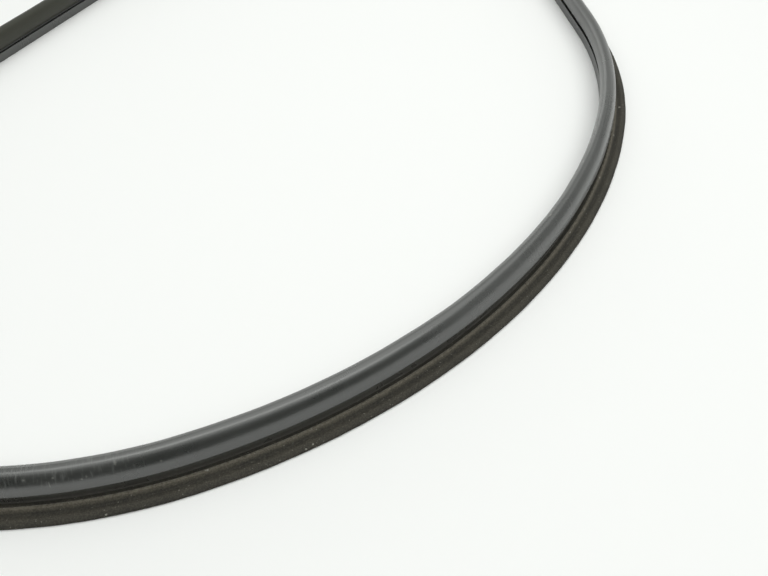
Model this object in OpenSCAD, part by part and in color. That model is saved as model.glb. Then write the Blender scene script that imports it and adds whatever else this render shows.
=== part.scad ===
// Car door seal: a closed loop of hollow rubber weatherstrip, moulded in one piece.
// It lies flat on its base. Lengths are in millimetres, angles in degrees.
// The loop is walked counter-clockwise seen from above. In the section, x points out of
// the loop from the line that the bends follow, and y up from the underside of the base.

/* [Bulb] */
// Width of the oval hollow bulb, across its long axis
bulb_w = 12.8; // [12:0.2:13.4]
// Height of the bulb along its long axis
bulb_h = 19.6; // [17:0.2:22]
// Wall thickness of the bulb
bulb_wall = 2.2; // [1.5:0.1:3]
// Lean of the bulb's long axis into the loop
bulb_lean = 16; // [12:1:20]
// Distance of the bulb's middle inside the bend line
bulb_in = 0.5; // [0:0.1:1]
// Height of the bulb's middle above the underside
bulb_mid_h = 17.4; // [17:0.2:19]
// Angle round the bulb, below its outer side, where the lip leaves it
lip_angle = 6; // [3:1:9]
// Length of the lip's flat face, from the bulb to its lower edge
lip_l = 4.5; // [4:0.1:5]
// Radius of the lip's lower edge
lip_r = 0.7; // [0.5:0.1:0.9]
// Angle round the bulb, below its outer side, where the neck leaves it
neck_out_angle = 75; // [70:1:80]
// Angle round the bulb, below its inner side, where the neck leaves it
neck_in_angle = 70; // [60:1:80]

/* [Heel] */
// Reach of the base into the loop, to its upright inner wall
heel_in = 4; // [3.5:0.1:5]
// Height of the inner wall up to its sharp top edge
heel_h = 7.3; // [6.8:0.1:7.8]
// Width of the heel's flat top, from that edge to the neck
heel_top_w = 3.2; // [2.5:0.1:3.5]
// Fall of the heel's top towards the neck
heel_fall = 0.6; // [0.2:0.1:1]

/* [Outer flange] */
// Reach of the flange out of the loop, to its tip
flange_out = 18.2; // [17.6:0.1:20]
// Radius of the rounded flange tip
flange_tip_r = 0.9; // [0.6:0.1:1.2]
// Distance of the flange's crown inside its tip
crown_in = 3.6; // [3:0.1:4]
// Thickness of the flange at its crown
crown_t = 3.1; // [2.8:0.1:3.5]
// Position of the shallow valley between flange and ridge
valley_x = 11.6; // [11:0.1:12.5]
// Thickness of the base at the valley
valley_t = 1.9; // [1.5:0.1:2.3]
// Position of the ridge's rounded crest
ridge_x = 8.4; // [8:0.1:8.8]
// Height of the ridge's crest above the underside
ridge_h = 5; // [4.5:0.1:5.5]
// Radius of the ridge's crest
ridge_r = 1.1; // [0.8:0.1:1.3]
// Position of the small ledge inside the ridge
ledge_x = 6.2; // [5.8:0.1:6.4]
// Thickness of the base at the ledge
ledge_t = 3.9; // [3.6:0.1:4.2]
// Position of the bottom of the groove between the ledge and the neck
groove_x = 4.2; // [3.8:0.1:4.8]
// Thickness of the base at the bottom of the groove
groove_t = 3; // [2.6:0.1:3.3]

/* [Loop] */
// Heading of the long left side, measured from +X
left_heading = -116.5; // [-120:0.5:-112]
// Bend radius of the near left corner
near_corner_r = 175; // [140:5:210]
// Turn of the near left corner
near_corner_turn = 90; // [84:1:96]
// Bend radius of the lower edge beside that corner
lower_r = 325; // [275:5:375]
// Turn of the lower edge
lower_turn = 47; // [41:1:53]
// Bend radius of the long sweep from the lower edge to the right side
sweep_r = 470; // [410:10:530]
// Turn of the long sweep
sweep_turn = 54; // [48:1:60]
// Bend radius of the right side's shoulder
shoulder_r = 330; // [280:10:380]
// Turn of the shoulder
shoulder_turn = 25; // [20:1:30]
// Bend radius of the sharp far corner
far_corner_r = 110; // [80:5:140]

/* [Facets] */
// Most that a flat facet may cut inside a bend
bend_sag = 0.13; // [0.12:0.01:0.3]
// Number of flats round the part of the bulb that shows
bulb_flats = 22; // [16:2:26]
// Number of flats round the hollow
hollow_flats = 16; // [12:2:18]
// Number of flats round the ridge's crest, the flange tip and the lip's edge
edge_flats = 4; // [3:1:5]

/* [Hidden] */
FULL_TURN = 360;
HALF_TURN = 180;
QUARTER_TURN = 90;

// The far corner takes up what is left of the full turn
far_corner_turn = FULL_TURN - near_corner_turn - lower_turn - sweep_turn - shoulder_turn;

// The bends in walking order, each [radius, turn, heading at its start]
near_corner = [near_corner_r, near_corner_turn, left_heading];
lower_edge = [lower_r, lower_turn, left_heading + near_corner_turn];
sweep = [sweep_r, sweep_turn, lower_edge[2] + lower_turn];
shoulder = [shoulder_r, shoulder_turn, sweep[2] + sweep_turn];
far_corner = [far_corner_r, far_corner_turn, shoulder[2] + shoulder_turn];
right_heading = far_corner[2];
bends = [near_corner, lower_edge, sweep, shoulder, far_corner];

// The straight right side has the length that lets a straight left side close the loop
bend_sum = vec_sum([for (b = bends) bend_step(b)]);
closing = sin(left_heading - right_heading);
right_l = (bend_sum.y * cos(left_heading) - bend_sum.x * sin(left_heading)) / closing;

// Start of each bend, walked from the near end of the left side
start_lower = bend_step(near_corner);
start_sweep = start_lower + bend_step(lower_edge);
start_shoulder = start_sweep + bend_step(sweep);
start_right = start_shoulder + bend_step(shoulder);
start_far = start_right + right_l * along(right_heading);
bend_starts = [[0, 0], start_lower, start_sweep, start_shoulder, start_far];

// Stations round the loop, each [point, heading]; they lie on the bends, straight between
stations = [
    for (i = [0 : len(bends) - 1])
        each bend_stations(bends[i], bend_starts[i], leads_to_bend(i))
];
station_x = [for (s = stations) s[0].x];
station_y = [for (s = stations) s[0].y];
loop_mid = [max(station_x) + min(station_x), max(station_y) + min(station_y)] / 2;

function along(heading) = [cos(heading), sin(heading)];

function outward(heading) = [sin(heading), -cos(heading)];

function bend_step(bend) = bend[0] * (outward(bend[2] + bend[1]) - outward(bend[2]));

function vec_sum(vectors, i = 0) =
    i == len(vectors) ? [0, 0] : vectors[i] + vec_sum(vectors, i + 1);

// A bend that runs straight into the next one leaves its last station to it
function leads_to_bend(i) = i < len(bends) - 2;

function bend_stations(bend, start, open_end) =
    let (
        count = ceil(bend[1] / (2 * acos(1 - bend_sag / bend[0]))),
        centre = start - bend[0] * outward(bend[2])
    )
    [
        for (k = [0 : count - (open_end ? 1 : 0)])
            let (heading = bend[2] + bend[1] * k / count)
            [centre + bend[0] * outward(heading), heading]
    ];

function arc(centre, r, from, to, flats) = [
    for (k = [0 : flats])
        let (a = from + (to - from) * k / flats)
        centre + r * [cos(a), sin(a)]
];

// Point of the leaning oval, inside its surface by a wall
function bulb_point(angle, wall = 0) =
    let (
        x = (bulb_w / 2 - wall) * cos(angle),
        y = (bulb_h / 2 - wall) * sin(angle)
    )
    [
        x * cos(bulb_lean) - y * sin(bulb_lean) - bulb_in,
        bulb_mid_h + x * sin(bulb_lean) + y * cos(bulb_lean)
    ];

// Way that the lip's face points, square to the bulb's surface where it leaves
function lip_facing() =
    bulb_lean - atan2(bulb_w * sin(lip_angle), bulb_h * cos(lip_angle));

// Rounded lower edge of the lip, from the neck's side up to its face
function lip_edge() =
    let (
        face = lip_facing(),
        corner = bulb_point(-lip_angle) + lip_l * [sin(face), -cos(face)],
        to_corner = corner - bulb_point(-neck_out_angle),
        under = atan2(to_corner.y, to_corner.x) - QUARTER_TURN,
        middle = (face + under) / 2,
        centre = corner - lip_r / cos((face - under) / 2) * [cos(middle), sin(middle)]
    )
    arc(centre, lip_r, under, face, edge_flats);

// Outer outline of the section, counter-clockwise from the heel's foot
function outline() = concat(
    [[-heel_in, 0]],
    arc([flange_out - flange_tip_r, flange_tip_r], flange_tip_r,
        -QUARTER_TURN, QUARTER_TURN, edge_flats),
    [[flange_out - crown_in, crown_t], [valley_x, valley_t]],
    arc([ridge_x, ridge_h - ridge_r], ridge_r, 0, HALF_TURN, edge_flats),
    [[ledge_x, ledge_t], [groove_x, groove_t], bulb_point(-neck_out_angle)],
    lip_edge(),
    [
        for (k = [0 : bulb_flats])
            bulb_point(-lip_angle + (HALF_TURN + lip_angle + neck_in_angle) * k / bulb_flats)
    ],
    [[heel_top_w - heel_in, heel_h - heel_fall], [-heel_in, heel_h]]
);

function hollow() = [
    for (k = [0 : hollow_flats - 1])
        bulb_point(FULL_TURN * k / hollow_flats, bulb_wall)
];

// Closed sweep of a section round the loop
module loop_sweep(profile) {
    n = len(profile);
    rings = len(stations);
    points = [
        for (s = stations, p = profile)
            let (xy = s[0] - loop_mid + p.x * outward(s[1]))
            [xy.x, xy.y, p.y]
    ];
    faces = [
        for (i = [0 : rings - 1], j = [0 : n - 1])
            let (
                here = i * n,
                next = (i + 1) % rings * n,
                k = (j + 1) % n
            )
            each [[here + j, here + k, next + k], [here + j, next + k, next + j]]
    ];
    polyhedron(points, faces);
}

module door_seal() {
    color("#35373a")
        difference() {
            loop_sweep(outline());
            loop_sweep(hollow());
        }
}

door_seal();
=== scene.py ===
"""Looks of the car door seal: a fine sweep of its section round the loop, in satin and porous rubber.

Lengths are in metres and angles in radians. The loop is walked counter-clockwise seen from above, from
the near end of the left side. In the section, x points out of the loop from the line that the bends
follow, and z up from the underside. The outline runs counter-clockwise from the heel's foot.
"""

import math

import bpy
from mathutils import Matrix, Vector


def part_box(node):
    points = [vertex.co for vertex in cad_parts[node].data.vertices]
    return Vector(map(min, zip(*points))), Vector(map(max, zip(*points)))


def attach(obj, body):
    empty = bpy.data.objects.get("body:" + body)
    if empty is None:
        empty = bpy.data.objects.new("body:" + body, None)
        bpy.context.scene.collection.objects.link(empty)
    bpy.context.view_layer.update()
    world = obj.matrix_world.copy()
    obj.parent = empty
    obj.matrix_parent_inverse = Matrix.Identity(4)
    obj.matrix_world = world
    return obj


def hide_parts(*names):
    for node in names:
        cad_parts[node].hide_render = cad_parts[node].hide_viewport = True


MM = 0.001
NODE = "door_seal"

# Section: bulb, lip, neck and heel
BULB_W = 12.8 * MM
BULB_H = 19.6 * MM
BULB_LEAN = math.radians(16)
BULB_IN = 0.5 * MM
BULB_MID_H = 17.4 * MM
BULB_STEPS = 56
LIP_ANGLE = math.radians(6)
LIP_L = 4.5 * MM
LIP_R = 0.7 * MM
NECK_OUT_ANGLE = math.radians(75)
NECK_IN_ANGLE = math.radians(70)
HEEL_IN = 4 * MM
HEEL_H = 7.3 * MM
HEEL_TOP_W = 3.2 * MM
HEEL_FALL = 0.6 * MM
HEEL_EDGE_R = 0.45 * MM

# Section: flange, valley, ridge, ledge and groove
FLANGE_OUT = 18.2 * MM
FLANGE_TIP_R = 0.9 * MM
CROWN_IN = 3.6 * MM
CROWN_T = 3.1 * MM
CROWN_R = 4 * MM
VALLEY_X = 11.6 * MM
VALLEY_T = 1.9 * MM
VALLEY_R = 1.2 * MM
RIDGE_X = 8.4 * MM
RIDGE_H = 5 * MM
RIDGE_R = 1.1 * MM
RIDGE_EDGE_R = 0.95 * RIDGE_R
LEDGE_X = 6.2 * MM
LEDGE_T = 3.9 * MM
GROOVE_X = 4.2 * MM
GROOVE_T = 3 * MM

# Section: small corners, and how finely the outline is divided
SMALL_R = 0.4 * MM
FILLET_STEPS = 4
OUTLINE_STEP = 0.9 * MM

# Loop: bends as (radius, turn), with straight sides before the first and before the far corner
LEFT_HEADING = math.radians(-116.5)
NEAR_CORNER = (175 * MM, math.radians(90))
LOWER_EDGE = (325 * MM, math.radians(47))
SWEEP = (470 * MM, math.radians(54))
SHOULDER = (330 * MM, math.radians(25))
FAR_CORNER_R = 110 * MM
RING_STEP = 5 * MM

# Unevenness of the soft strip, with its waves as (number round the loop, share, phase)
BULB_SWELL = 0.10 * MM
BULB_SIDE_WAVES = [(23, 1, 0), (41, 0.7, 1.3), (97, 0.4, 0.4)]
BULB_LIFT_WAVES = [(31, 0.5, 2.1)]
FLANGE_RIPPLE = 0.05 * MM
FLANGE_WAVES = [(57, 1, 0), (143, 0.6, 0.7), (197, 0.5, 2.6)]
FLANGE_WAVE_TOP = sum(share for _, share, _ in FLANGE_WAVES)

# Dust on what stands up from the base, and painted light under the lip: a paler colour that lifts the shade
# on the neck and in the groove
DUST_EVERYWHERE = 0.1
DUST_ON_CREST = 0.9
DUST_ON_CROWN = 0.25
DUST_CROWN_REACH = 1.5 * CROWN_IN
RIDGE_FOOT_H = 2.6 * MM
NECK_REACH = 1.2 * MM
PAINTED_GROOVE_LIGHT_FADE = 4 * MM
PAINTED_GROOVE_LIGHT_OUT = 1 * MM

# Wear and painted reflection in their places along the strip: a scratched stretch of the bulb, and on the
# left side a duller, olive-tinted skin that stands in for the dim surroundings it reflects
SCRATCHED_FROM = 438 * MM
SCRATCHED_TO = 520 * MM
SCRATCHED_FADE = 14 * MM
SCRATCHED_ABOVE = 19.5 * MM
SCRATCHED_RISE = 2 * MM
PAINTED_LEFT_REFLECTION_FROM = 2150 * MM
PAINTED_LEFT_REFLECTION_FADE = 150 * MM
PAINTED_LEFT_REFLECTION_RISE = 2 * MM

# A dusty line along the ridge's inner edge, by its distance round the outline
EDGE_LINE_ACROSS = 36 * MM
EDGE_LINE_HALF = 0.7 * MM

# Pale marks, in millimetres: places along the strip and round the outline, then half sizes
BULB_MARKS = [
    (458, 63, 0.8, 0.6),
    (470, 59, 0.45, 2.0),
    (472.5, 62.5, 0.7, 0.6),
    (486, 59.5, 0.6, 0.8),
    (488.5, 60.5, 0.5, 0.9),
    (503.5, 65, 0.8, 1.6),
    (525.5, 60, 0.6, 0.6),
    (823, 70, 2.4, 0.6),
    (890, 71.5, 2.2, 0.8),
    (916.5, 73.5, 1.8, 1.0),
    (936.5, 73, 3.2, 0.9),
]
BASE_MARKS = [
    (493, 24.5, 0.7, 0.6),
    (545.5, 35, 0.8, 0.6),
    (597.5, 24.5, 0.6, 0.6),
    (602, 25.5, 0.6, 0.6),
    (838, 34, 1.1, 0.7),
    (866, 34, 1.0, 0.7),
    (904.5, 34.5, 1.1, 0.8),
    (963, 32.5, 1.3, 0.9),
    (1004.5, 29.5, 1.3, 1.0),
]

# Textures as (scale per metre, detail, roughness), stretches as (along, across) per metre,
# bumps as (depth, strength), and spans as the values between which a texture takes effect
MIDDLE_SPAN = (0.3, 0.7)
STRETCHED = (1.0, 2.0, 0.55)
BLOTCH = (28.0, 4.0, 0.55)
WAVE = (60.0, 2.0, 0.55)
WAVE_BUMP = (0.4 * MM, 0.12)
LINE_STRETCH = (6.0, 2600.0)
LINE_BUMP = (0.02 * MM, 0.35)
SCRATCH_STRETCH = (850.0, 150.0)
SCRATCH_SPAN = (0.52, 0.72)
PATCH = (11.0, 2.0, 0.55)
PATCH_SPAN = (0.52, 0.68)
SPECK = (900.0, 2.0, 0.55)
SPECK_SPAN = (0.74, 0.8)
CLOUD = (45.0, 5.0, 0.6)
GRAIN = (1100.0, 3.0, 0.65)
GRAIN_SPAN = (0.42, 0.72)
GRAIN_BUMP = (0.25 * MM, 0.6)
COARSE = (420.0, 3.0, 0.6)
COARSE_SHARE = 0.6
COARSE_SPAN = (0.35, 0.6)
CREST_SPAN = (0.2, 0.8)
COVER_SPAN = (0.62, 0.95)
FLECK = (640.0, 1.0, 0.55)
FLECK_SPAN = (0.70, 0.76)
PIT_SCALE = 900.0
PIT_SPAN = (0.0, 0.45)
PIT_BUMP = (0.25 * MM, 0.35)
RAGGED = (1800.0, 2.0, 0.55)
RAGGED_REACH = (-0.35, 0.35)
MARK_SPAN = (1.1, 0.35)

# Satin rubber, with how much each kind of wear covers it, and the painted reflection and painted light laid
# on it
SATIN_DARK = (0.022, 0.0240, 0.0215, 1)
SATIN_LIGHT = (0.030, 0.0320, 0.0285, 1)
SATIN_ROUGHNESS = (0.25, 0.32)
SATIN_IOR = 1.6
# Painted reflection: the sheen on the left side turned down, standing in for the dim surroundings it
# reflects
CLEAN_TO_PAINTED_LEFT_REFLECTION_SPECULAR = (1.0, 0.2)
PATCH_COVER = 0.5
SCUFF_COLOUR = (0.17, 0.175, 0.165, 1)
SCUFF_COVER = 0.35
SCUFF_ROUGHNESS = 0.15
SPECK_COLOUR = (0.25, 0.25, 0.23, 1)
SPECK_COVER = 0.25
BULB_MARK_COLOUR = (0.26, 0.26, 0.235, 1)
BULB_MARK_COVER = 0.45
# Painted reflection: an olive tint and a rougher skin on the left side, standing in for the dim
# surroundings it reflects
PAINTED_LEFT_REFLECTION_COLOUR = (0.048, 0.048, 0.036, 1)
PAINTED_LEFT_REFLECTION_COVER = 0.8
PAINTED_LEFT_REFLECTION_ROUGHNESS = 0.16
# Painted light: a pale colour on the neck and in the groove that lifts their shade
PAINTED_GROOVE_LIGHT_COLOUR = (0.12, 0.117, 0.105, 1)
PAINTED_GROOVE_LIGHT_COVER = (0.7, 1.0)

# Porous rubber, with how much each kind of wear covers it
POROUS_DARK = (0.0210, 0.0204, 0.0176, 1)
POROUS_LIGHT = (0.0395, 0.0360, 0.0285, 1)
POROUS_ROUGHNESS = (0.62, 0.82)
POROUS_SPECULAR = 0.22
GRAIN_COLOUR = (0.080, 0.0755, 0.0615, 1)
GRAIN_COVER = (0.0, 0.75)
DUST_COLOUR = (0.165, 0.149, 0.118, 1)
DUST_PATCHES = (0.45, 1.0)
DUST_COVER = 0.9
FLECK_COLOUR = (0.34, 0.33, 0.29, 1)
FLECKS_BY_DUST = (0.35, 1.0)
FLECK_COVER = 0.6
EDGE_LINE_COLOUR = (0.30, 0.285, 0.24, 1)
EDGE_LINE_COVER = 0.7
BASE_MARK_COLOUR = (0.36, 0.35, 0.31, 1)
BASE_MARK_COVER = 0.75

# Sockets of Blender's Mix node that hold colours
MIX_A = 6
MIX_B = 7
MIX_RESULT = 2

# Camera, fitted to the photograph's 768 x 576 frame
FRAME_W_PX = 768
FOCAL_PX = 700
SENSOR_W_MM = 36
CLIP_START = 0.01
CAMERA_PITCH = math.radians(49.3)
CAMERA_AT = (130.4 * MM, -674.1 * MM, 357.8 * MM)

# Floor, with its front edge just outside the photograph's frame
FLOOR_COLOUR = (0.945, 0.945, 0.945, 1)
FLOOR_ROUGHNESS = 0.9
FLOOR_SPECULAR = 0.1
FLOOR_HALF = 3
FLOOR_FRONT = -0.6
FLOOR_Z = -0.1 * MM

# Light, with lamps as (name, size, watts, place, point that it faces)
WORLD_GREY = (0.12, 0.123, 0.12, 1)
LAMP_COLOUR = (0.98, 1.0, 0.97)
LAMPS = [
    ("softbox", (3.3, 3.8), 32.7, (0.1, 0.2, 1.5), (0.1, 0.2, 0)),
    ("softbox_heart", (2.0, 1.3), 4.8, (0.5, 0.15, 1.49), (0.5, 0.15, 0)),
    ("softbox_core", (2.2, 0.4), 6, (0.3, -0.75, 1.48), (0.3, -0.75, 0)),
    ("front_fill", (2.6, 1.1), 1, (0.1, -1.85, 1.4), (0.1, -0.4, 0)),
    ("panel", (3.25, 1.5), 22, (-1.57, 2.5, 0.76), (-1.57, 0, 0.5)),
    ("dim_panel", (2.95, 1.5), 11, (1.52, 2.5, 0.76), (1.52, 0, 0.5)),
    ("side_panel", (4.4, 2.6), 15, (3.0, 0.4, 1.31), (0.1, 0.4, 1.31)),
]


def clamp(value):
    return min(1, max(0, value))


def outward(heading):
    return Vector((math.sin(heading), -math.cos(heading)))


def along(heading):
    return Vector((math.cos(heading), math.sin(heading)))


def fillet(before, corner, after, radius):
    """Points of an arc that rounds one corner of the outline."""
    to_before = (before - corner).normalized()
    to_after = (after - corner).normalized()
    half = to_before.angle(to_after) / 2
    centre = corner + (to_before + to_after).normalized() * radius / math.sin(half)
    first = corner + to_before * radius / math.tan(half) - centre
    last = corner + to_after * radius / math.tan(half) - centre
    points = []
    for k in range(FILLET_STEPS + 1):
        blend = first.lerp(last, k / FILLET_STEPS)
        points.append(centre + blend.normalized() * radius)
    return points


def bulb_point(angle):
    """Point of the leaning oval."""
    x = BULB_W / 2 * math.cos(angle)
    z = BULB_H / 2 * math.sin(angle)
    turn_cos = math.cos(BULB_LEAN)
    turn_sin = math.sin(BULB_LEAN)
    return Vector((x * turn_cos - z * turn_sin - BULB_IN, BULB_MID_H + x * turn_sin + z * turn_cos))


def lip_corner():
    """Lower edge of the lip, straight on from the bulb's outer side."""
    face = BULB_LEAN - math.atan2(BULB_W * math.sin(LIP_ANGLE), BULB_H * math.cos(LIP_ANGLE))
    return bulb_point(-LIP_ANGLE) + LIP_L * Vector((math.sin(face), -math.cos(face)))


def section_corners():
    """Outline counter-clockwise from the heel's foot, as (point, corner radius)."""
    ridge_out = RIDGE_X + RIDGE_R
    ridge_in = RIDGE_X - RIDGE_R
    corners = [
        ((-HEEL_IN, 0), SMALL_R),
        ((FLANGE_OUT, 0), FLANGE_TIP_R),
        ((FLANGE_OUT, 2 * FLANGE_TIP_R), FLANGE_TIP_R),
        ((FLANGE_OUT - CROWN_IN, CROWN_T), CROWN_R),
        ((VALLEY_X, VALLEY_T), VALLEY_R),
        ((ridge_out, RIDGE_H - RIDGE_R), SMALL_R),
        ((ridge_out, RIDGE_H), RIDGE_EDGE_R),
        ((ridge_in, RIDGE_H), RIDGE_EDGE_R),
        ((ridge_in, LEDGE_T), 0),
        ((LEDGE_X, LEDGE_T), SMALL_R),
        ((GROOVE_X, GROOVE_T), SMALL_R),
    ]
    corners = [(Vector(point), radius) for point, radius in corners]
    corners.append((bulb_point(-NECK_OUT_ANGLE), SMALL_R))
    corners.append((lip_corner(), LIP_R))
    span = math.pi + LIP_ANGLE + NECK_IN_ANGLE
    for k in range(BULB_STEPS + 1):
        corners.append((bulb_point(-LIP_ANGLE + span * k / BULB_STEPS), 0))
    corners.append((Vector((HEEL_TOP_W - HEEL_IN, HEEL_H - HEEL_FALL)), SMALL_R))
    corners.append((Vector((-HEEL_IN, HEEL_H)), HEEL_EDGE_R))
    return corners


def section_outline():
    """Outline with its corners rounded and its long flats divided."""
    corners = section_corners()
    rounded = []
    for k, (point, radius) in enumerate(corners):
        if radius:
            before = corners[k - 1][0]
            after = corners[(k + 1) % len(corners)][0]
            rounded.extend(fillet(before, point, after, radius))
        else:
            rounded.append(point)
    outline = []
    for k, point in enumerate(rounded):
        after = rounded[(k + 1) % len(rounded)]
        parts = max(1, math.ceil((after - point).length / OUTLINE_STEP))
        for part in range(parts):
            outline.append(point.lerp(after, part / parts))
    return outline


def loop_path():
    """Stations round the loop, as (point, heading, distance walked), and the loop's whole length."""
    bends = [NEAR_CORNER, LOWER_EDGE, SWEEP, SHOULDER]
    bends.append((FAR_CORNER_R, 2 * math.pi - sum(turn for _, turn in bends)))
    heading = LEFT_HEADING
    steps = []
    for radius, turn in bends:
        steps.append(radius * (outward(heading + turn) - outward(heading)))
        heading += turn
    right_heading = heading - bends[-1][1]
    total = sum(steps, Vector((0, 0)))
    closing = math.sin(LEFT_HEADING - right_heading)
    right_l = (total.y * math.cos(LEFT_HEADING) - total.x * math.sin(LEFT_HEADING)) / closing
    left_l = (total.x * math.sin(right_heading) - total.y * math.cos(right_heading)) / closing

    stations = []
    place = {"point": Vector((0, 0)), "heading": LEFT_HEADING, "walked": 0.0}

    def walk_bend(radius, turn):
        centre = place["point"] - radius * outward(place["heading"])
        count = math.ceil(radius * turn / RING_STEP)
        for k in range(count):
            here = place["heading"] + turn * k / count
            distance = place["walked"] + radius * turn * k / count
            stations.append((centre + radius * outward(here), here, distance))
        place["heading"] += turn
        place["point"] = centre + radius * outward(place["heading"])
        place["walked"] += radius * turn

    def walk_straight(length):
        count = math.ceil(length / RING_STEP)
        for k in range(count):
            step = length * k / count
            point = place["point"] + step * along(place["heading"])
            stations.append((point, place["heading"], place["walked"] + step))
        place["point"] = place["point"] + length * along(place["heading"])
        place["walked"] += length

    for bend in bends[:-1]:
        walk_bend(*bend)
    walk_straight(right_l)
    walk_bend(*bends[-1])
    walk_straight(left_l)
    return stations, place["walked"]


def loop_middle(stations):
    xs = [point.x for point, _, _ in stations]
    ys = [point.y for point, _, _ in stations]
    return Vector(((max(xs) + min(xs)) / 2, (max(ys) + min(ys)) / 2))


def wave_sum(waves, turn):
    return sum(share * math.sin(number * turn + phase) for number, share, phase in waves)


def uneven(point, walked, length):
    """A section point moved by the slight waves that soft rubber keeps, with whole waves round the loop."""
    turn = 2 * math.pi * walked / length
    x, z = point
    lift = clamp((z - HEEL_H) / BULB_H)
    x += lift * BULB_SWELL * wave_sum(BULB_SIDE_WAVES, turn)
    z += lift * BULB_SWELL * wave_sum(BULB_LIFT_WAVES, turn)
    rim = clamp((x - VALLEY_X) / (FLANGE_OUT - VALLEY_X))
    x += rim * FLANGE_RIPPLE * (wave_sum(FLANGE_WAVES, turn) - FLANGE_WAVE_TOP)
    return Vector((x, z))


def dust_weight(point):
    """How dusty a place of the base is, most of all on the ridge's crest."""
    x, z = point
    if z > HEEL_H or x < GROOVE_X:
        return 0
    on_ridge = RIDGE_X - RIDGE_R - SMALL_R < x < VALLEY_X
    crest = max(0, (z - RIDGE_FOOT_H) / (RIDGE_H - RIDGE_FOOT_H)) if on_ridge else 0
    crown = max(0, 1 - abs(x - (FLANGE_OUT - CROWN_IN)) / DUST_CROWN_REACH)
    return min(1, DUST_EVERYWHERE + DUST_ON_CREST * crest + DUST_ON_CROWN * crown)


def painted_groove_light_weight(point):
    """How much painted light lies on the neck and in the groove, under the shelter of the lip: a paler
    colour that lifts their shade.
    """
    x, z = point
    if x < GROOVE_X - NECK_REACH or x > LEDGE_X:
        return 0
    depth = clamp((lip_corner().y - z) / PAINTED_GROOVE_LIGHT_FADE)
    return depth * clamp(1 - (x - GROOVE_X) / PAINTED_GROOVE_LIGHT_OUT)


def scratched_weight(walked):
    """How scratched the strip is along one stretch of the near run."""
    return clamp(min(walked - SCRATCHED_FROM, SCRATCHED_TO - walked) / SCRATCHED_FADE)


def scratched_share(point):
    """Share of the scratches that a place of the section takes: only the bulb's upper part has them."""
    return clamp((point.y - SCRATCHED_ABOVE) / SCRATCHED_RISE)


def painted_left_reflection_weight(walked, length):
    """How much of the painted reflection there is along the strip: only the left side has it, where a
    duller, olive-tinted skin stands in for the dim surroundings it reflects.
    """
    return clamp(min(walked - PAINTED_LEFT_REFLECTION_FROM, length - walked) / PAINTED_LEFT_REFLECTION_FADE)


def painted_left_reflection_share(point):
    """Share of the painted reflection that a place of the section takes: all of it above the heel."""
    return clamp((point.y - HEEL_H) / PAINTED_LEFT_REFLECTION_RISE)


def is_porous(point):
    in_groove = point.x > GROOVE_X - SMALL_R and point.y < GROOVE_T + 2 * SMALL_R
    on_base = point.x > GROOVE_X + SMALL_R and point.y < RIDGE_H + SMALL_R
    return in_groove or on_base


def strip_vertices(outline, stations, length):
    """Points of the sweep, ring by ring, where the frame has the node."""
    middle = loop_middle(stations)
    low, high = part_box(NODE)
    centre = Vector(((low[0] + high[0]) / 2, (low[1] + high[1]) / 2))
    vertices = []
    for point, heading, walked in stations:
        for spot in outline:
            x, z = uneven(spot, walked, length)
            flat = point - middle + centre + x * outward(heading)
            vertices.append((flat.x, flat.y, low[2] + z))
    return vertices


def strip_faces(outline, rings):
    """Faces between the rings, and the material of each: 0 for satin rubber, 1 for porous rubber."""
    count = len(outline)
    faces = []
    materials = []
    for i in range(rings):
        here = i * count
        after = (i + 1) % rings * count
        for j in range(count):
            k = (j + 1) % count
            faces.append((here + j, after + j, after + k, here + k))
            materials.append(1 if is_porous((outline[j] + outline[k]) / 2) else 0)
    return faces, materials


def strip_fields(outline, stations, length):
    """Places, wear, painted reflection and painted light by name, each as its values along the strip and
    round the outline.
    """
    walks = [walked for _, _, walked in stations] + [length]
    spots = outline + outline[:1]
    across = [0.0]
    for before, after in zip(spots, spots[1:]):
        across.append(across[-1] + (after - before).length)
    same_along = [1.0] * len(walks)
    same_across = [1.0] * len(spots)
    scratched = [scratched_weight(walked) for walked in walks]
    painted_left_reflection = [painted_left_reflection_weight(walked, length) for walked in walks]
    return {
        "along": (walks, same_across),
        "across": (same_along, across),
        "dust": (same_along, [dust_weight(spot) for spot in spots]),
        "painted_groove_light": (same_along, [painted_groove_light_weight(spot) for spot in spots]),
        "scratched": (scratched, [scratched_share(spot) for spot in spots]),
        "painted_left_reflection": (painted_left_reflection, [painted_left_reflection_share(spot) for spot in spots]),
    }


def corner_values(along_values, across_values):
    """Value at each corner of each face: the one along the strip times the one round the outline."""
    values = []
    for start, end in zip(along_values, along_values[1:]):
        for near, far in zip(across_values, across_values[1:]):
            values.extend((start * near, end * near, end * far, start * far))
    return values


def sweep_mesh():
    """Closed sweep of the section round the loop, with its places, wear, painted reflection and painted
    light kept on the face corners.
    """
    outline = section_outline()
    stations, length = loop_path()
    faces, materials = strip_faces(outline, len(stations))
    mesh = bpy.data.meshes.new("seal_strip")
    mesh.from_pydata(strip_vertices(outline, stations, length), [], faces)
    mesh.polygons.foreach_set("material_index", materials)
    mesh.polygons.foreach_set("use_smooth", [True] * len(faces))
    for name, (along_values, across_values) in strip_fields(outline, stations, length).items():
        field = mesh.attributes.new(name, "FLOAT", "CORNER")
        field.data.foreach_set("value", corner_values(along_values, across_values))
    mesh.update()
    return mesh


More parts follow.
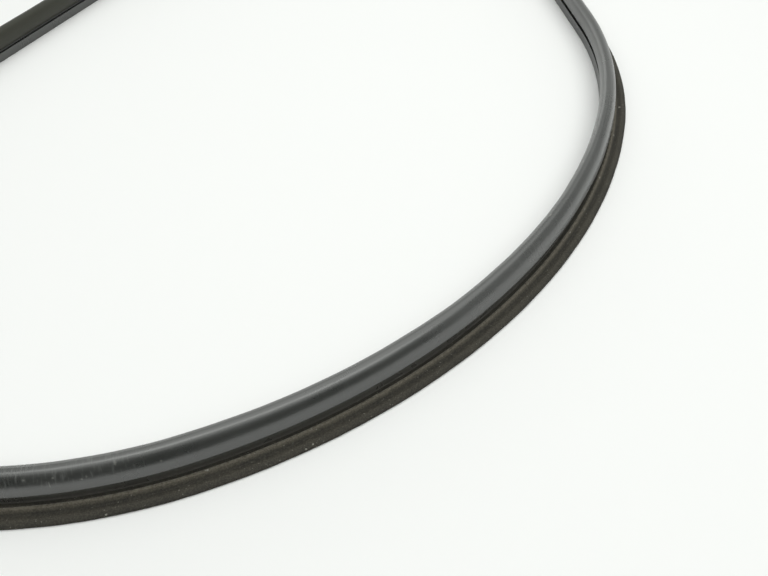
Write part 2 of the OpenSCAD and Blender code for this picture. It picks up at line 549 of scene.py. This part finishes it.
class Nodes:
    """Short way to write a material's node tree."""

    def __init__(self, name):
        self.material = bpy.data.materials.new(name)
        self.material.use_nodes = True
        self.tree = self.material.node_tree
        self.shader = self.tree.nodes["Principled BSDF"]

    def add(self, kind, inputs=None, **settings):
        node = self.tree.nodes.new(kind)
        for key, value in settings.items():
            setattr(node, key, value)
        for key, value in (inputs or {}).items():
            self.plug(value, node.inputs[key])
        return node

    def plug(self, value, socket):
        if isinstance(value, bpy.types.NodeSocket):
            self.tree.links.new(value, socket)
        else:
            socket.default_value = value

    def shade(self, name, value):
        """Give the shader's own socket a number, a colour or a link."""
        self.plug(value, self.shader.inputs[name])

    def attribute(self, name):
        return self.add("ShaderNodeAttribute", attribute_name=name).outputs["Fac"]

    def place(self):
        return self.add("ShaderNodeTexCoord").outputs["Object"]

    def math(self, operation, a, b=0.0):
        return self.add("ShaderNodeMath", {0: a, 1: b}, operation=operation).outputs[0]

    def pair(self, x, y):
        return self.add("ShaderNodeCombineXYZ", {"X": x, "Y": y}).outputs["Vector"]

    def strip_place(self, stretch):
        """Coordinates that run along and across the strip."""
        along_scale, across_scale = stretch
        x = self.math("MULTIPLY", self.attribute("along"), along_scale)
        y = self.math("MULTIPLY", self.attribute("across"), across_scale)
        return self.pair(x, y)

    def noise(self, vector, texture):
        scale, detail, roughness = texture
        inputs = {"Vector": vector, "Scale": scale, "Detail": detail, "Roughness": roughness}
        return self.add("ShaderNodeTexNoise", inputs).outputs["Fac"]

    def ramp(self, value, span, to=(0.0, 1.0)):
        """A value carried over from one span to another, and held at the ends."""
        inputs = {"Value": value, "From Min": span[0], "From Max": span[1]}
        inputs.update({"To Min": to[0], "To Max": to[1]})
        return self.add("ShaderNodeMapRange", inputs).outputs["Result"]

    def mix(self, factor, a, b):
        node = self.add("ShaderNodeMix", data_type="RGBA")
        self.plug(factor, node.inputs["Factor"])
        self.plug(a, node.inputs[MIX_A])
        self.plug(b, node.inputs[MIX_B])
        return node.outputs[MIX_RESULT]

    def coat(self, under, where, cover, colour):
        """A colour laid over another one where a mask says, at most as thick as the cover."""
        return self.mix(self.math("MULTIPLY", where, cover), under, colour)

    def marks(self, spots):
        """Small ragged marks at given places of the strip."""
        ragged = self.ramp(self.noise(self.place(), RAGGED), MIDDLE_SPAN, RAGGED_REACH)
        cover = 0.0
        for along_at, across_at, half_along, half_across in spots:
            x = self.math("SUBTRACT", self.attribute("along"), along_at * MM)
            y = self.math("SUBTRACT", self.attribute("across"), across_at * MM)
            x = self.math("DIVIDE", x, half_along * MM)
            y = self.math("DIVIDE", y, half_across * MM)
            reach = self.add("ShaderNodeVectorMath", {0: self.pair(x, y)}, operation="LENGTH")
            mark = self.ramp(self.math("ADD", reach.outputs["Value"], ragged), MARK_SPAN)
            cover = self.math("MAXIMUM", mark, cover)
        return cover

    def bump(self, height, size, under=None):
        depth, strength = size
        inputs = {"Height": height, "Distance": depth, "Strength": strength}
        if under is not None:
            inputs["Normal"] = under
        return self.add("ShaderNodeBump", inputs).outputs["Normal"]


def satin_rubber():
    """Smooth skin of the bulb, neck and heel, with extrusion lines, scratches and marks, a painted
    reflection on the left side, and painted light on the neck.
    """
    n = Nodes("satin_rubber")
    place = n.place()
    painted_left_reflection = n.attribute("painted_left_reflection")
    blotch = n.noise(place, BLOTCH)
    patch = n.ramp(n.noise(place, PATCH), PATCH_SPAN, (0.0, PATCH_COVER))
    patch = n.math("MAXIMUM", patch, n.attribute("scratched"))
    scratch = n.ramp(n.noise(n.strip_place(SCRATCH_STRETCH), STRETCHED), SCRATCH_SPAN)
    scuff = n.math("MULTIPLY", scratch, patch)
    speck = n.ramp(n.noise(place, SPECK), SPECK_SPAN)
    # Painted light: a pale colour on the neck under the lip that lifts its shade
    painted_groove_light = n.math("MULTIPLY", n.attribute("painted_groove_light"), n.ramp(blotch, MIDDLE_SPAN, PAINTED_GROOVE_LIGHT_COVER))

    colour = n.mix(n.ramp(blotch, MIDDLE_SPAN), SATIN_DARK, SATIN_LIGHT)
    colour = n.coat(colour, scuff, SCUFF_COVER, SCUFF_COLOUR)
    colour = n.coat(colour, speck, SPECK_COVER, SPECK_COLOUR)
    colour = n.coat(colour, n.marks(BULB_MARKS), BULB_MARK_COVER, BULB_MARK_COLOUR)
    # Painted reflection: an olive tint on the left side, standing in for the dim surroundings it reflects
    colour = n.coat(colour, painted_left_reflection, PAINTED_LEFT_REFLECTION_COVER, PAINTED_LEFT_REFLECTION_COLOUR)
    n.shade("Base Color", n.mix(painted_groove_light, colour, PAINTED_GROOVE_LIGHT_COLOUR))

    roughness = n.ramp(blotch, MIDDLE_SPAN, SATIN_ROUGHNESS)
    roughness = n.math("ADD", roughness, n.math("MULTIPLY", scuff, SCUFF_ROUGHNESS))
    # Painted reflection: a rougher skin with less sheen on the left side, for the same dim surroundings
    roughness = n.math("ADD", roughness, n.math("MULTIPLY", painted_left_reflection, PAINTED_LEFT_REFLECTION_ROUGHNESS))
    n.shade("Roughness", roughness)
    n.shade("Specular IOR Level", n.ramp(painted_left_reflection, (0.0, 1.0), CLEAN_TO_PAINTED_LEFT_REFLECTION_SPECULAR))
    n.shade("IOR", SATIN_IOR)

    lines = n.noise(n.strip_place(LINE_STRETCH), STRETCHED)
    waves = n.bump(n.noise(place, WAVE), WAVE_BUMP)
    n.shade("Normal", n.bump(lines, LINE_BUMP, waves))
    return n.material


def porous_rubber():
    """Dull brownish skin of the groove, ridge and flange, pitted, with dust on what stands up, and painted
    light in the groove.
    """
    n = Nodes("porous_rubber")
    place = n.place()
    dust = n.attribute("dust")
    cloud = n.noise(place, CLOUD)
    grain = n.noise(place, GRAIN)
    coarse = n.noise(place, COARSE)
    pits = n.add("ShaderNodeTexVoronoi", {"Vector": place, "Scale": PIT_SCALE}).outputs["Distance"]
    grit = n.math("ADD", grain, n.math("MULTIPLY", coarse, COARSE_SHARE))
    crest = n.math("MULTIPLY", n.ramp(dust, CREST_SPAN), n.ramp(grit, COVER_SPAN, DUST_PATCHES))
    fleck = n.ramp(n.noise(place, FLECK), FLECK_SPAN)
    fleck = n.math("MULTIPLY", fleck, n.ramp(dust, (0.0, 1.0), FLECKS_BY_DUST))
    off_line = n.math("ABSOLUTE", n.math("SUBTRACT", n.attribute("across"), EDGE_LINE_ACROSS))
    edge_line = n.ramp(off_line, (EDGE_LINE_HALF, 0.0))
    edge_line = n.math("MULTIPLY", edge_line, n.ramp(coarse, COARSE_SPAN))

    colour = n.mix(n.ramp(cloud, MIDDLE_SPAN), POROUS_DARK, POROUS_LIGHT)
    colour = n.mix(n.ramp(grain, GRAIN_SPAN, GRAIN_COVER), colour, GRAIN_COLOUR)
    colour = n.coat(colour, crest, DUST_COVER, DUST_COLOUR)
    # Painted light: a pale colour in the groove that lifts its shade
    colour = n.mix(n.attribute("painted_groove_light"), colour, PAINTED_GROOVE_LIGHT_COLOUR)
    colour = n.coat(colour, fleck, FLECK_COVER, FLECK_COLOUR)
    colour = n.coat(colour, edge_line, EDGE_LINE_COVER, EDGE_LINE_COLOUR)
    colour = n.coat(colour, n.marks(BASE_MARKS), BASE_MARK_COVER, BASE_MARK_COLOUR)
    n.shade("Base Color", colour)
    n.shade("Roughness", n.ramp(grain, MIDDLE_SPAN, POROUS_ROUGHNESS))
    n.shade("Specular IOR Level", POROUS_SPECULAR)

    hollows = n.bump(n.ramp(pits, PIT_SPAN), PIT_BUMP)
    n.shade("Normal", n.bump(grain, GRAIN_BUMP, hollows))
    return n.material


def make_seal():
    mesh = sweep_mesh()
    mesh.materials.append(satin_rubber())
    mesh.materials.append(porous_rubber())
    seal = bpy.data.objects.new("seal_strip", mesh)
    bpy.context.collection.objects.link(seal)
    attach(seal, "root")
    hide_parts(NODE)


def make_floor():
    corners = [(-FLOOR_HALF, FLOOR_FRONT), (FLOOR_HALF, FLOOR_FRONT)]
    corners += [(FLOOR_HALF, FLOOR_HALF), (-FLOOR_HALF, FLOOR_HALF)]
    mesh = bpy.data.meshes.new("floor")
    mesh.from_pydata([(x, y, FLOOR_Z) for x, y in corners], [], [(0, 1, 2, 3)])
    n = Nodes("floor_white")
    n.shade("Base Color", FLOOR_COLOUR)
    n.shade("Roughness", FLOOR_ROUGHNESS)
    n.shade("Specular IOR Level", FLOOR_SPECULAR)
    mesh.materials.append(n.material)
    floor = bpy.data.objects.new("floor", mesh)
    bpy.context.collection.objects.link(floor)


def make_lamp(name, size, power, place, aim):
    lamp = bpy.data.lights.new(name, "AREA")
    lamp.shape = "RECTANGLE"
    lamp.size, lamp.size_y = size
    lamp.energy = power
    lamp.color = LAMP_COLOUR
    holder = bpy.data.objects.new(name, lamp)
    holder.location = place
    away = Vector(place) - Vector(aim)
    holder.rotation_euler = away.to_track_quat("Z", "Y").to_euler()
    bpy.context.collection.objects.link(holder)


def make_light():
    """A wide softbox overhead, brighter near its middle, with dimmer panels behind and at the right."""
    world = bpy.data.worlds.new("soft_room")
    world.use_nodes = True
    world.node_tree.nodes["Background"].inputs["Color"].default_value = WORLD_GREY
    bpy.context.scene.world = world
    for lamp in LAMPS:
        make_lamp(*lamp)


def make_camera():
    lens = bpy.data.cameras.new("camera")
    lens.sensor_fit = "HORIZONTAL"
    lens.sensor_width = SENSOR_W_MM
    lens.lens = FOCAL_PX / FRAME_W_PX * SENSOR_W_MM
    lens.clip_start = CLIP_START
    camera = bpy.data.objects.new("camera", lens)
    camera.location = CAMERA_AT
    camera.rotation_euler = (math.pi / 2 - CAMERA_PITCH, 0, 0)
    bpy.context.collection.objects.link(camera)
    bpy.context.scene.camera = camera


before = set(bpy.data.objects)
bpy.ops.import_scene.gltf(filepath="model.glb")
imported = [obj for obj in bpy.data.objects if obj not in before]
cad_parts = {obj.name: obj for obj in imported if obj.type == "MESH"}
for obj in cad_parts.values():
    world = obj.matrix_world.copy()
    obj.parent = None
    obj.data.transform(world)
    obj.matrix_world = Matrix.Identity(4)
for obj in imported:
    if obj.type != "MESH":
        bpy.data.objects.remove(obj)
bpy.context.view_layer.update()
bpy.context.scene.view_settings.view_transform = "Standard"
make_camera()
make_seal()
make_floor()
make_light()
